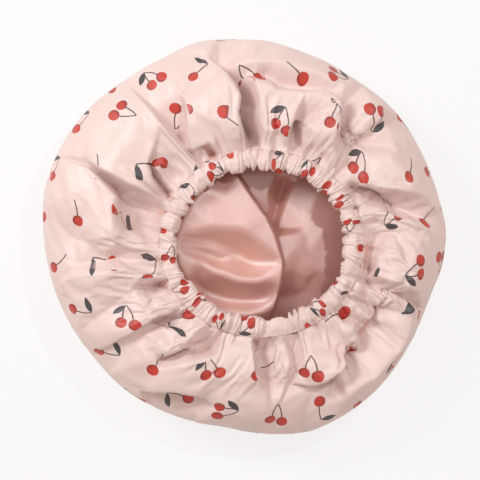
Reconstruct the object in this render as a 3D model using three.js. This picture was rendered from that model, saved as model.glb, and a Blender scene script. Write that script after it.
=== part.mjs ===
// Bouffant shower cap lying crown down with its mouth up.
// A printed outer disc and a satin lining disc are gathered together into a hem casing,
// and the casing is folded round a flat elastic loop and closed by one lockstitch seam.
// Millimetres, +Z up, the flat of the crown on Z = 0.
import * as THREE from 'three';

// Cap body
const BASE_FLAT_RADIUS = 104;
const EQUATOR_HEIGHT = 34;
const CREST_HEIGHT = 73;
const CREST_RUN = 26;
const RIM_DROP = 8;

// The cap seen from above, nearly round with soft corners: bearing in degrees and radius.
const OUTLINE = [
  [0, 146], [20, 141], [36, 143], [60, 138], [103, 145], [120, 143], [147, 149],
  [180, 146], [210, 141], [270, 140], [290, 149], [315, 146], [330, 144], [360, 146],
];

// Mouth, measured on the inner edge of the casing with the elastic relaxed
const MOUTH_WIDTH = 118;
const MOUTH_LENGTH = 106;
const MOUTH_SHIFT_X = 11.3;
const MOUTH_SHIFT_Y = -4.5;

// Cloth thicknesses
const SHELL_WALL = 0.6;
const LINING_WALL = 0.5;
const CASING_WALL = 0.6;

// Elastic and thread
const BAND_WIDTH = 6;
const BAND_THICKNESS = 1;
const BAND_LAP = 14;
const THREAD_DIAMETER = 0.6;
const STITCH_LENGTH = 5;
const STITCH_SWING = 0.6;
const TACK_TURNS = 4;
const TACK_PITCH = 1.6;

// Hem
const TUCK_DEPTH = 4;
const STITCH_INSET = 1.8;
const NOSE_RUN = 1.4;
const RUFFLE_COUNT = 22;
const RUFFLE_HEIGHT = 2.6;
const SCALLOP_DEPTH = 2.2;

// Clearances between neighbouring layers
const LAYER_GAP = 0.3;
const LIP_GAP = 1;

// Main folds of the outer cloth, each a ridge that runs out from the hem with a valley along it.
// hem and end are places seen from above, ridge and valley are heights over and under the smooth cap,
// and side says how far right of the ridge, looking outwards, the valley lies.
const FOLDS = [
  { hem: [-33, 49], end: [-88, 114], ridge: 7, valley: 8, side: 9 },
  { hem: [0, 57], end: [-27, 130], ridge: 7, valley: 18, side: 11 },
  { hem: [29, 55], end: [36, 92], ridge: 5, valley: 13, side: 10 },
  { hem: [61, 58], end: [62, 108], ridge: 5, valley: 12, side: 10 },
  { hem: [71, 58], end: [100, 95], ridge: 5, valley: 9, side: 11 },
  { hem: [76, 40], end: [134, 23], ridge: 9, valley: 14, side: 13 },
  { hem: [80, -14], end: [118, -12], ridge: 4, valley: 7, side: -12 },
  { hem: [76, -32], end: [128, -52], ridge: 6, valley: 10, side: 12 },
  { hem: [62, -60], end: [94, -95], ridge: 5, valley: 9, side: -12 },
  { hem: [29, -74], end: [21, -122], ridge: 7, valley: 8, side: -10 },
  { hem: [4, -70], end: [17, -120], ridge: 5, valley: 8, side: -9 },
  { hem: [-18, -79], end: [-66, -94], ridge: 4, valley: 11, side: 10 },
  { hem: [-50, -50], end: [-78, -66], ridge: 5, valley: 11, side: -11 },
  { hem: [-57, -23], end: [-128, -28], ridge: 4, valley: 9, side: 10 },
  { hem: [-57, -6], end: [-98, 18], ridge: 5, valley: 2, side: 13 },
  { hem: [-60, 26], end: [-120, 60], ridge: 7, valley: 13, side: -11 },
];
const FOLD_FLANK = 16;
const FOLD_HIGHEST = 11;
const FOLD_DEEPEST = 22;

// A fold rises within this distance of the hem, and dies out over its last part, as shares of its length.
const FOLD_RISE = 14;
const FOLD_FADE_START = 0.55;
const FOLD_FADE_END = 1.1;

// The lining lies slack: its left side is raised to an edge, and its right side lies lower with a
// trough in it. The edge is given as places across the cap at places along it, the trough as a line.
const LINING_EDGE = [[-80, 20], [-28, 28], [-17, 28], [14, 17], [30, 5], [80, -24]];
const LINING_EDGE_SPREAD = 16;
const LINING_LEFT = 51;
const LINING_RIGHT = 27;
const LINING_TROUGH = [[23, 5], [35, 42]];
const LINING_TROUGH_DEPTH = 16;
const LINING_TROUGH_HALF = 15;
const LINING_UNDER_HEM = 26;
const LINING_SLACK = 3;

// Facets, and the places of the rings of each cloth as shares of the way over it
const SHELL_MERIDIANS = 60;
const SHELL_RINGS = [0, 0.3, 0.5, 0.72, 1];
const LINING_MERIDIANS = 48;
const LINING_FLOOR_RINGS = [0.16, 0.3, 0.43, 0.55, 0.67];
const LINING_HEM_RING = 0.84;
const STEPS_PER_RUFFLE = 4;
const BAND_STEPS = 84;
const THREAD_SIDES = 4;

// Places derived from the sizes above
const RIM_HEIGHT = CREST_HEIGHT - RIM_DROP;
const LAP_HEIGHT = 2 * BAND_THICKNESS + LAYER_GAP;
const SLOT_HALF = LAP_HEIGHT / 2 + 2 * LAYER_GAP + THREAD_DIAMETER;
const BAND_START = CASING_WALL + NOSE_RUN;
const BAND_END = BAND_START + BAND_WIDTH;
const TUCK_END = BAND_END + 2 * LAYER_GAP + THREAD_DIAMETER;
const CASING_WIDTH = TUCK_END + TUCK_DEPTH;
const STITCH_LINE = CASING_WIDTH - STITCH_INSET;
const LIP_TOP = LAYER_GAP / 2 + SHELL_WALL + LAYER_GAP;
const LIP_BOTTOM = LAYER_GAP / 2 + LINING_WALL + LAYER_GAP;
const UNDER_FOLDS = CREST_HEIGHT - FOLD_DEEPEST - SHELL_WALL - LINING_SLACK;
const TURN = Math.PI * 2;

const smooth = (low, high, value) => THREE.MathUtils.smoothstep(value, low, high);

// A point beside the mouth: out is the distance outwards from the casing's inner edge.
function besideMouth(angle, out, z) {
  const a = MOUTH_WIDTH / 2;
  const b = MOUTH_LENGTH / 2;
  const normal = new THREE.Vector2(b * Math.cos(angle), a * Math.sin(angle)).normalize();
  const x = MOUTH_SHIFT_X + a * Math.cos(angle) + out * normal.x;
  const y = MOUTH_SHIFT_Y + b * Math.sin(angle) + out * normal.y;
  return new THREE.Vector3(x, y, z);
}

// Value at a place in a table of places and values, on the straight line between its neighbours.
function between(table, place) {
  const next = Math.max(1, table.findIndex(([row]) => row > place));
  const [start, near] = table[next - 1];
  const [end, far] = table[next];
  return near + (far - near) * (place - start) / (end - start);
}

// The widest ring of the cap, seen from above.
function outlinePoint(angle) {
  const radius = between(OUTLINE, THREE.MathUtils.radToDeg(angle));
  return new THREE.Vector3(radius * Math.cos(angle), radius * Math.sin(angle), EQUATOR_HEIGHT);
}

// A place seen from above, told from a line: its share along it and its distance to the right of it.
function besideLine([x, y], start, end) {
  const [alongX, alongY] = [end[0] - start[0], end[1] - start[1]];
  const length = Math.hypot(alongX, alongY);
  const share = ((x - start[0]) * alongX + (y - start[1]) * alongY) / length ** 2;
  const right = ((x - start[0]) * alongY - (y - start[1]) * alongX) / length;
  return { share, right };
}

// Height of one fold's section: up to the ridge, down to the valley and back to the smooth cap.
function foldSection(fold, right) {
  const across = Math.sign(fold.side) * right;
  const gap = Math.abs(fold.side);
  if (across < 0) {
    return fold.ridge * Math.max(0, 1 + across / FOLD_FLANK);
  }
  if (across < gap) {
    return THREE.MathUtils.lerp(fold.ridge, -fold.valley, across / gap);
  }
  return -fold.valley * Math.max(0, 1 - (across - gap) / FOLD_FLANK);
}

// How far the folds raise the outer cloth over the smooth cap at a place seen from above.
function foldLift(place, run) {
  let lift = 0;
  for (const fold of FOLDS) {
    const { share, right } = besideLine(place, fold.hem, fold.end);
    const along = share < 0 ? 0 : 1 - smooth(FOLD_FADE_START, FOLD_FADE_END, share);
    lift += foldSection(fold, right) * along;
  }
  return THREE.MathUtils.clamp(lift, -FOLD_DEEPEST, FOLD_HIGHEST) * smooth(0, FOLD_RISE, run);
}

// Places that one meridian of the cap passes through before it is folded.
function meridianPlaces(angle) {
  const flat = new THREE.Vector3(Math.cos(angle), Math.sin(angle), 0);
  const base = flat.multiplyScalar(BASE_FLAT_RADIUS);
  const widest = outlinePoint(angle);
  const tuckZ = RIM_HEIGHT + LAYER_GAP / 2 + SHELL_WALL;
  const hem = besideMouth(angle, CASING_WIDTH + LIP_GAP, tuckZ);
  const outwards = new THREE.Vector3(widest.x - hem.x, widest.y - hem.y, 0).normalize();
  const crest = hem.clone().addScaledVector(outwards, CREST_RUN).setZ(CREST_HEIGHT);
  const tuck = besideMouth(angle, TUCK_END, tuckZ);
  return { base, widest, hem, outwards, crest, tuck };
}

// One meridian of the cap's outer face, from the flat of the crown to the edge tucked in the hem.
function shellMeridian(angle) {
  const { base, widest, hem, outwards, crest, tuck } = meridianPlaces(angle);
  const up = new THREE.Vector3(0, 0, 1);
  const bilge = base.clone().lerp(widest, Math.SQRT1_2).setZ(EQUATOR_HEIGHT * (1 - Math.SQRT1_2));
  const points = [base, bilge];
  for (const share of SHELL_RINGS) {
    const swing = share * Math.PI / 2;
    const normal = outwards.clone().multiplyScalar(Math.cos(swing)).addScaledVector(up, Math.sin(swing));
    const point = crest.clone().lerp(widest, Math.cos(swing));
    point.setZ(EQUATOR_HEIGHT + (CREST_HEIGHT - EQUATOR_HEIGHT) * Math.sin(swing));
    const fold = foldLift([point.x, point.y], CREST_RUN) * Math.sin(swing);
    points.push(point.addScaledVector(normal, fold));
  }
  const dip = crest.clone().lerp(hem, 0.5);
  dip.addScaledVector(up, foldLift([dip.x, dip.y], CREST_RUN / 2));
  points.push(dip, hem, tuck);
  return points;
}

// Height of the lining in the mouth.
function liningFloor(place) {
  const { share, right } = besideLine(place, ...LINING_TROUGH);
  const inTrough = share < 0 ? 0 : Math.max(0, 1 - Math.abs(right) / LINING_TROUGH_HALF);
  const low = LINING_RIGHT - LINING_TROUGH_DEPTH * inTrough;
  const [x, y] = place;
  const beyondEdge = x - between(LINING_EDGE, y);
  const over = smooth(-LINING_EDGE_SPREAD / 2, LINING_EDGE_SPREAD / 2, beyondEdge);
  return THREE.MathUtils.lerp(LINING_LEFT, low, over);
}

// One meridian of the lining's under face: its floor, then up inside the outer cloth to the hem.
function liningMeridian(angle) {
  const { base, widest, hem, outwards, crest, tuck } = meridianPlaces(angle);
  const layer = SHELL_WALL + LAYER_GAP;
  const points = [];
  for (const share of LINING_FLOOR_RINGS) {
    const point = base.clone().multiplyScalar(share);
    points.push(point.setZ(liningFloor([point.x, point.y])));
  }
  points.push(base.clone().multiplyScalar(LINING_HEM_RING).setZ(LINING_UNDER_HEM));
  points.push(base.clone().setZ(layer));
  const wall = widest.clone().addScaledVector(outwards, -SHELL_WALL - LINING_SLACK);
  points.push(wall.setZ(EQUATOR_HEIGHT - LINING_SLACK));
  const shoulder = (SHELL_RINGS[2] + SHELL_RINGS[3]) / 2;
  points.push(widest.clone().lerp(crest, shoulder).setZ(UNDER_FOLDS - LINING_SLACK));
  points.push(crest.clone().lerp(hem, 0.5).setZ(UNDER_FOLDS));
  points.push(hem.clone().setZ(hem.z - layer), tuck.clone().setZ(tuck.z - layer));
  return points;
}

// A cloth's outer face as meridians of points, with the outward normal at each point.
function clothSurface(meridian, count) {
  const columns = [];
  for (let step = 0; step < count; step += 1) {
    columns.push(meridian(TURN * step / count));
  }
  const rings = columns[0].length;
  const normals = columns.map((column, step) => column.map((point, ring) => {
    const before = columns[(step + count - 1) % count][ring];
    const after = columns[(step + 1) % count][ring];
    const along = after.clone().sub(before);
    const lower = column[Math.max(0, ring - 1)];
    const upper = column[Math.min(rings - 1, ring + 1)];
    const normal = along.cross(upper.clone().sub(lower)).normalize();
    if (ring === 0) {
      normal.set(0, 0, -1);
    }
    if (ring >= rings - 2) {
      normal.set(0, 0, 1);
    }
    return normal;
  }));
  return { columns, normals, rings };
}

// A closed mesh from points and triangles, turned so that its faces look outwards.
function closedGeometry(points, triangles) {
  let volume = 0;
  for (const [a, b, c] of triangles) {
    volume += points[a].dot(points[b].clone().cross(points[c]));
  }
  const index = triangles.flatMap(([a, b, c]) => (volume < 0 ? [a, c, b] : [a, b, c]));
  const geometry = new THREE.BufferGeometry();
  geometry.setFromPoints(points);
  geometry.setIndex(index);
  geometry.computeVertexNormals();
  return geometry;
}

// One cloth disc of the cap: the layer of a given thickness under its outer face.
function clothDisc({ columns, normals, rings }, wall, poleHeight) {
  const points = [new THREE.Vector3(0, 0, poleHeight), new THREE.Vector3(0, 0, poleHeight + wall)];
  for (const depth of [0, wall]) {
    columns.forEach((column, step) => column.forEach((point, ring) => {
      points.push(point.clone().addScaledVector(normals[step][ring], -depth));
    }));
  }
  const count = columns.length;
  const at = (face, step, ring) => 2 + (face * count + step % count) * rings + ring;
  const triangles = [];
  for (let step = 0; step < count; step += 1) {
    triangles.push([0, at(0, step + 1, 0), at(0, step, 0)]);
    triangles.push([1, at(1, step, 0), at(1, step + 1, 0)]);
    for (let ring = 0; ring + 1 < rings; ring += 1) {
      for (const face of [0, 1]) {
        const corner = at(face, step, ring);
        const across = at(face, step + 1, ring + 1);
        const beside = at(face, step + 1 - face, ring + face);
        const beyond = at(face, step + face, ring + 1 - face);
        triangles.push([corner, beside, across], [corner, across, beyond]);
      }
    }
    const last = rings - 1;
    triangles.push([at(0, step, last), at(0, step + 1, last), at(1, step + 1, last)]);
    triangles.push([at(0, step, last), at(1, step + 1, last), at(1, step, last)]);
  }
  return closedGeometry(points, triangles);
}

// A solid swept through equal sections: a closed ring, or a strip with two flat ends.
function sweptSections(sections, ring) {
  const count = sections.length;
  const sides = sections[0].length;
  const at = (section, side) => (section % count) * sides + side % sides;
  const triangles = [];
  for (let section = 0; section < (ring ? count : count - 1); section += 1) {
    for (let side = 0; side < sides; side += 1) {
      const near = at(section, side);
      const far = at(section + 1, side + 1);
      triangles.push([near, at(section + 1, side), far], [near, far, at(section, side + 1)]);
    }
  }
  if (!ring) {
    for (let side = 1; side + 1 < sides; side += 1) {
      triangles.push([at(0, 0), at(0, side), at(0, side + 1)]);
      triangles.push([at(count - 1, 0), at(count - 1, side + 1), at(count - 1, side)]);
    }
  }
  return closedGeometry(sections.flat(), triangles);
}

// How far a leaf of the casing stands off the elastic on a ruffle, from the mouth to the seam.
function ruffle(angle, out) {
  const wave = 0.5 - 0.5 * Math.cos(RUFFLE_COUNT * angle);
  return RUFFLE_HEIGHT * wave * (1 - smooth(0.25 * CASING_WIDTH, CASING_WIDTH, out));
}

// Height of the casing's outer face over the hem's middle plane.
function casingFace(angle, out, lip) {
  const taper = smooth(BAND_END, CASING_WIDTH, out);
  return THREE.MathUtils.lerp(SLOT_HALF, lip, taper) + CASING_WALL + ruffle(angle, out);
}

// The turned hem: one leaf over the elastic, one under it, joined by a scalloped fold at the mouth.
function elasticCasing() {
  const steps = RUFFLE_COUNT * STEPS_PER_RUFFLE;
  const shoulder = CASING_WALL + NOSE_RUN / 2;
  const places = [CASING_WIDTH, (BAND_END + CASING_WIDTH) / 2, shoulder];
  const sections = [];
  for (let step = 0; step < steps; step += 1) {
    const angle = TURN * step / steps;
    const scallop = SCALLOP_DEPTH * (0.5 - 0.5 * Math.cos(RUFFLE_COUNT * angle));
    const topFace = places.map((out) => [out, casingFace(angle, out, LIP_TOP)]);
    const underFace = places.map((out) => [out, -casingFace(angle, out, LIP_BOTTOM)]);
    const topInside = topFace.map(([out, z]) => [out, z - CASING_WALL]);
    const underInside = underFace.map(([out, z]) => [out, z + CASING_WALL]);
    const section = [
      ...topFace,
      [-scallop, 0],
      ...underFace.reverse(),
      ...underInside,
      [CASING_WALL - scallop, 0],
      ...topInside.reverse(),
    ];
    sections.push(section.map(([out, z]) => besideMouth(angle, out, RIM_HEIGHT + z)));
  }
  return sweptSections(sections, true);
}

// Angle that covers a length along the elastic.
function bandAngle(length) {
  return length / ((MOUTH_WIDTH + MOUTH_LENGTH) / 4 + BAND_START);
}

// Height of the elastic's lower face: its far end climbs over its near end at the lap.
function bandFloor(angle) {
  const climb = smooth(TURN - 2 * bandAngle(BAND_LAP), TURN - bandAngle(BAND_LAP) / 2, angle);
  return -LAP_HEIGHT / 2 + climb * (BAND_THICKNESS + LAYER_GAP);
}

// The flat elastic, one length whose ends lap at the front of the mouth.
function elasticBand() {
  const sections = [];
  for (let step = 0; step <= BAND_STEPS; step += 1) {
    const angle = (TURN + bandAngle(BAND_LAP)) * step / BAND_STEPS;
    const floor = RIM_HEIGHT + bandFloor(angle);
    sections.push([
      besideMouth(angle, BAND_START, floor),
      besideMouth(angle, BAND_END, floor),
      besideMouth(angle, BAND_END, floor + BAND_THICKNESS),
      besideMouth(angle, BAND_START, floor + BAND_THICKNESS),
    ]);
  }
  return sweptSections(sections, false);
}

// A thread of few sides along a path given as angle, distance out and height at each step.
function threadSections(path) {
  return path.map(([angle, out, z]) => {
    const section = [];
    for (let side = 0; side < THREAD_SIDES; side += 1) {
      const turn = TURN * side / THREAD_SIDES;
      const reach = THREAD_DIAMETER / 2;
      section.push(besideMouth(angle, out + reach * Math.cos(turn), z + reach * Math.sin(turn)));
    }
    return section;
  });
}

// The tack that holds the lapped ends of the elastic: thread whipped round both layers.
function elasticJoinTack() {
  const halfWidth = BAND_WIDTH / 2 + LAYER_GAP + THREAD_DIAMETER / 2;
  const halfHeight = LAP_HEIGHT / 2 + LAYER_GAP + THREAD_DIAMETER / 2;
  const centre = (BAND_START + BAND_END) / 2;
  const corners = [[1, -1], [1, 1], [-1, 1], [-1, -1]];
  const start = bandAngle(BAND_LAP / 2 - TACK_TURNS * TACK_PITCH / 2);
  const sections = [];
  for (let corner = 0; corner <= TACK_TURNS * corners.length; corner += 1) {
    const [side, level] = corners[corner % corners.length];
    const angle = start + bandAngle(TACK_PITCH * corner / corners.length);
    const reach = THREAD_DIAMETER / 2;
    const along = bandAngle(THREAD_DIAMETER / 2);
    const inner = [centre + side * (halfWidth - reach), RIM_HEIGHT + level * (halfHeight - reach)];
    const outer = [centre + side * (halfWidth + reach), RIM_HEIGHT + level * (halfHeight + reach)];
    sections.push([
      besideMouth(angle - along, ...inner),
      besideMouth(angle + along, ...inner),
      besideMouth(angle + along, ...outer),
      besideMouth(angle - along, ...outer),
    ]);
  }
  return sweptSections(sections, false);
}

// One thread of the lockstitch seam that closes the casing: above it, or below it.
function seamThread(side, lip) {
  const length = TURN * ((MOUTH_WIDTH + MOUTH_LENGTH) / 4 + STITCH_LINE);
  const stitches = 2 * Math.round(length / STITCH_LENGTH / 2);
  const path = [];
  for (let step = 0; step < 2 * stitches; step += 1) {
    const angle = TURN * step / (2 * stitches);
    const swing = STITCH_SWING * Math.cos(Math.PI * step / 2);
    const out = STITCH_LINE + swing;
    const face = casingFace(angle, out, lip) + LAYER_GAP + THREAD_DIAMETER / 2;
    path.push([angle, out, RIM_HEIGHT + side * face]);
  }
  return sweptSections(threadSections(path), true);
}

const cloth = (color, roughness) => new THREE.MeshStandardMaterial({ color, roughness, metalness: 0 });

function named(name, geometry, material) {
  const mesh = new THREE.Mesh(geometry, material);
  mesh.name = name;
  return mesh;
}

const shellSurface = clothSurface(shellMeridian, SHELL_MERIDIANS);
const shellDisc = clothDisc(shellSurface, SHELL_WALL, 0);
const liningSurface = clothSurface(liningMeridian, LINING_MERIDIANS);
const liningDisc = clothDisc(liningSurface, LINING_WALL, liningFloor([0, 0]));

const crown = new THREE.Group();
crown.name = 'crown';
crown.add(
  named('outer_shell', shellDisc, cloth(0xf2dcd6, 0.7)),
  named('lining', liningDisc, cloth(0xd9a595, 0.45)),
);

const rim = new THREE.Group();
rim.name = 'rim';
rim.add(
  named('elastic_casing', elasticCasing(), cloth(0xf6e1db, 0.7)),
  named('elastic_band', elasticBand(), cloth(0xece6e0, 0.85)),
  named('elastic_join_tack', elasticJoinTack(), cloth(0xc98f83, 0.8)),
  named('hem_needle_thread', seamThread(1, LIP_TOP), cloth(0xcf9c90, 0.75)),
  named('hem_bobbin_thread', seamThread(-1, LIP_BOTTOM), cloth(0xcf9c90, 0.75)),
);

const group = new THREE.Group();
group.name = 'shower_cap';
group.add(crown, rim);

// The cap's box is centred over the origin and rests on the ground plane.
const box = new THREE.Box3().setFromObject(group);
const middle = box.getCenter(new THREE.Vector3());
group.traverse((piece) => {
  if (piece.isMesh) {
    piece.geometry.translate(-middle.x, -middle.y, -box.min.z);
  }
});

export default group;
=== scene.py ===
"""A bouffant shower cap lying crown down: printed outer cloth, satin lining and an elastic hem."""
import math

import bpy
import numpy as np
from bpy.props import FloatProperty, FloatVectorProperty, IntProperty, PointerProperty
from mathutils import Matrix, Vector
from mathutils.geometry import delaunay_2d_cdt


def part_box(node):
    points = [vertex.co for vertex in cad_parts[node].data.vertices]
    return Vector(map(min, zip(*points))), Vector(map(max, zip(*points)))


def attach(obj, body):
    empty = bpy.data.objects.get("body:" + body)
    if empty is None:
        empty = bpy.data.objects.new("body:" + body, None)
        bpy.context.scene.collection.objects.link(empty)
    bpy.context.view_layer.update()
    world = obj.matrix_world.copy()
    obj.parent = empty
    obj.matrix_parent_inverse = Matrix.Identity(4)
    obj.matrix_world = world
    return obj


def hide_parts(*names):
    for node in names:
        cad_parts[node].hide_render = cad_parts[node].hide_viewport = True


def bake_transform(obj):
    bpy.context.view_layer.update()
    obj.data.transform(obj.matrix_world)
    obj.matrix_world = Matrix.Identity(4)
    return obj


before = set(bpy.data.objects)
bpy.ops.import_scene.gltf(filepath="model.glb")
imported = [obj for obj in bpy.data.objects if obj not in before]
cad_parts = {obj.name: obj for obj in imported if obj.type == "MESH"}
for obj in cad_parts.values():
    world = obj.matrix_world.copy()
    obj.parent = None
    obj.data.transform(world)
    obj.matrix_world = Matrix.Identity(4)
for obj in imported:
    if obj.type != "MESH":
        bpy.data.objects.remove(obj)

bl_info = {
    "name": "Gathered shower cap",
    "version": (1, 0, 0),
    "blender": (4, 5, 0),
    "location": "View3D > Sidebar > Shower cap",
    "description": "Sews a printed shower cap with a satin lining on its fixed frame",
    "category": "Add Mesh",
}

# Cloth is worked out in millimetres and written to the meshes in metres.
MM = 0.001
TURN = 2 * math.pi
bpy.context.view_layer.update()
CASING_LOW, CASING_HIGH = (np.array(corner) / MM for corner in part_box("elastic_casing"))

MOUTH_CENTRE = (CASING_LOW + CASING_HIGH)[:2] / 2
CASING_HALF = (CASING_HIGH - CASING_LOW)[:2] / 2
HEM_HEIGHT = float(CASING_LOW[2] + CASING_HIGH[2]) / 2
CREST_HEIGHT = HEM_HEIGHT + 6.5  # the smooth cap is highest a little outside the hem

# The folds of the outer cloth, drawn in plan on a grid whose origin is the part's origin.
# Each line runs along a ridge or a valley: x and y on the grid, height over the smooth cap (mm).
DRAWN = 0.70  # mm on the cap for one step of the fold drawing
FOLD_LINES = (
    # knife pleat at the upper left and the panel beside it
    ((-119, 154, 0), (-100, 132, 3), (-83, 112, 4), (-63, 89, 4), (-47, 70, 2)),
    ((-97, 134, -3), (-80, 115, -5), (-60, 92, -6), (-44, 73, -4)),
    ((-66, 146, -1), (-62, 128, -3), (-63, 114, -4), (-55, 86, -4)),
    ((-58, 130, 2), (-57, 114, 2), (-49, 88, 1)),
    ((-41, 89, -3), (-29, 78, -6)),
    ((-35, 94, 2), (-21, 80, 2)),
    # deep valley at the top and its overhanging left bank
    ((-45, 192, 0), (-32, 178, 1), (-20, 162, 3), (-5, 140, 4), (-10, 122, 4), (-4, 103, 4), (1, 84, 3)),
    ((-41, 187, -1), (-23, 173, -5), (-5, 160, -8), (2, 140, -11), (-1, 121, -11), (5, 98, -11),
     (7, 78, -8)),
    ((13, 176, 2), (10, 160, 1), (15, 138, 1), (17, 111, 2), (19, 86, 1)),
    # narrow fold right of the top
    ((48, 121, 2), (44, 103, 4), (41, 80, 3)),
    ((55, 118, -4), (51, 101, -8), (46, 80, -8)),
    ((61, 110, 1), (59, 94, 2), (55, 76, 1)),
    # wavy bank at the upper right, and the ridge that climbs from it to the edge
    ((85, 147, 2), (94, 129, 3), (91, 111, 3), (88, 94, 3), (93, 80, 2)),
    ((95, 146, -2), (103, 128, -6), (99, 109, -7), (96, 92, -7), (100, 79, -4)),
    ((102, 92, -2), (112, 104, 2), (126, 121, 3), (139, 129, 1)),
    ((107, 86, -4), (119, 96, -6), (132, 108, -4), (145, 117, -1)),
    ((130, 76, 3), (147, 86, 2)),
    ((30, 176, 2), (55, 170, 2), (80, 163, 2), (101, 155, 1)),
    ((23, 166, -4), (40, 157, -5), (65, 154, -5), (83, 151, -3)),
    ((30, 146, 2), (60, 143, 2)),
    # long ridge on the right
    ((101, 58, 0), (110, 55, 2), (121, 53, 4), (139, 48, 5), (161, 43, 5), (176, 39, 3), (187, 32, 1)),
    ((108, 49, -4), (120, 44, -7), (137, 38, -8), (157, 31, -8), (173, 25, -5), (187, 18, -2)),
    ((117, 33, 0), (137, 24, 1), (161, 15, 2), (182, 7, 1)),
    ((116, 21, 2), (128, 22, 2)),
    ((115, 14, -3), (128, 13, -2)),
    ((108, -4, -4), (127, -1, -4), (151, 2, -2)),
    ((133, -26, 2), (147, -12, 3), (160, -30, 3)),
    ((119, -16, -4), (121, -32, -5)),
    ((130, -38, 3), (146, -46, 4), (171, -55, 3)),
    ((118, -43, -4), (145, -54, -5), (169, -61, -4)),
    # fingers and hollow at the lower right
    ((107, -48, 0), (121, -54, 2), (140, -62, 3), (159, -69, 3), (173, -74, 1)),
    ((117, -63, -6), (140, -72, -9), (160, -80, -7)),
    ((95, -67, 2), (112, -74, 3), (131, -82, 3)),
    ((100, -78, -4), (115, -83, -6), (138, -88, -9)),
    ((92, -87, 1), (107, -100, 3), (117, -113, 3), (126, -124, 2)),
    ((115, -97, -6), (127, -109, -9), (134, -122, -8)),
    ((150, -99, -9), (148, -88, -9)),
    ((104, -109, -4), (107, -122, -7), (117, -130, -8)),
    ((110, -137, -7), (123, -133, -7)),
    ((113, -146, 2), (126, -141, 2), (141, -125, 2), (159, -102, 2), (171, -79, 1)),
    # dark pocket at the lower right
    ((67, -151, 1), (80, -142, 3), (93, -133, 3), (101, -126, 1)),
    ((73, -155, -3), (88, -148, -7), (96, -158, -5)),
    ((101, -148, 2), (102, -159, 2), (99, -166, 1)),
    # two pleats that meet at the bottom
    ((5, -101, 2), (7, -116, 3), (11, -134, 3), (18, -154, 2), (26, -168, 1)),
    ((10, -102, -5), (13, -117, -6), (17, -134, -5), (23, -152, -3)),
    ((42, -113, 3), (44, -131, 4), (40, -152, 3), (32, -169, 1)),
    ((47, -114, -4), (49, -132, -4), (45, -152, -3)),
    ((60, -116, 1), (65, -134, 2)),
    # bottom and lower left
    ((-107, -156, 0), (-93, -154, 2), (-72, -153, 2), (-50, -157, 2), (-39, -163, 1)),
    ((-93, -161, -3), (-69, -163, -4), (-45, -167, -3)),
    ((-30, -174, 1), (0, -175, 2), (22, -174, 2)),
    ((-85, -127, -3), (-61, -121, -6), (-29, -112, -6)),
    ((-85, -132, 1), (-59, -125, 2), (-26, -116, 2)),
    ((-93, -122, 1), (-71, -110, 3), (-54, -97, 3), (-40, -90, 2)),
    ((-55, -110, -3), (-40, -101, -4)),
    ((-103, -97, -3), (-87, -88, -6), (-71, -78, -7)),
    ((-105, -92, 1), (-90, -83, 3), (-74, -72, 3)),
    # left
    ((-112, -53, -2), (-95, -49, -4), (-79, -45, -6)),
    ((-111, -46, 1), (-95, -42, 2), (-80, -38, 2)),
    ((-175, -32, -2), (-145, -28, -4), (-120, -25, -5), (-82, -25, -6)),
    ((-173, -40, 1), (-145, -35, 3), (-120, -31, 3), (-85, -31, 2)),
    ((-177, -4, -3), (-160, -8, -2)),
    # hollow at the upper left
    ((-163, 80, 1), (-145, 69, 3), (-118, 54, 4), (-103, 46, 3), (-89, 37, 2)),
    ((-159, 74, -2), (-142, 61, -6), (-124, 46, -8), (-105, 35, -8), (-85, 26, -7)),
    ((-157, 68, 1), (-144, 55, 2), (-130, 41, 2), (-135, 24, 3), (-132, 7, 3), (-124, 0, 2),
     (-105, -6, 2), (-82, -10, 2)),
    ((-120, 23, -6), (-100, 12, -7), (-80, 5, -6)),
    ((-98, 72, 2), (-93, 56, 2), (-84, 41, 2), (-71, 29, 1)),
    ((-94, 73, -2), (-87, 58, -5), (-76, 42, -6), (-63, 31, -5)),
    ((-85, 68, 2), (-75, 52, 2), (-62, 38, 1)),
    ((-80, 78, -1), (-68, 58, -3), (-55, 42, -4)),
)

# Outline of the cap seen from above, nearly round with soft corners: bearing (deg), radius (mm)
OUTLINE = (
    (3, 145), (16, 141), (27, 140), (42, 141), (57, 138), (75, 140), (95, 143), (103, 145), (115, 142),
    (128, 142.5), (140, 146), (152, 148), (167, 149), (178, 146), (191, 143.5), (201, 142), (217, 139.5),
    (231, 140.5), (247, 139.5), (264, 138.5), (279, 145), (289, 149), (300, 147), (315, 145), (330, 141),
    (343, 140), (352, 144),
)

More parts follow.
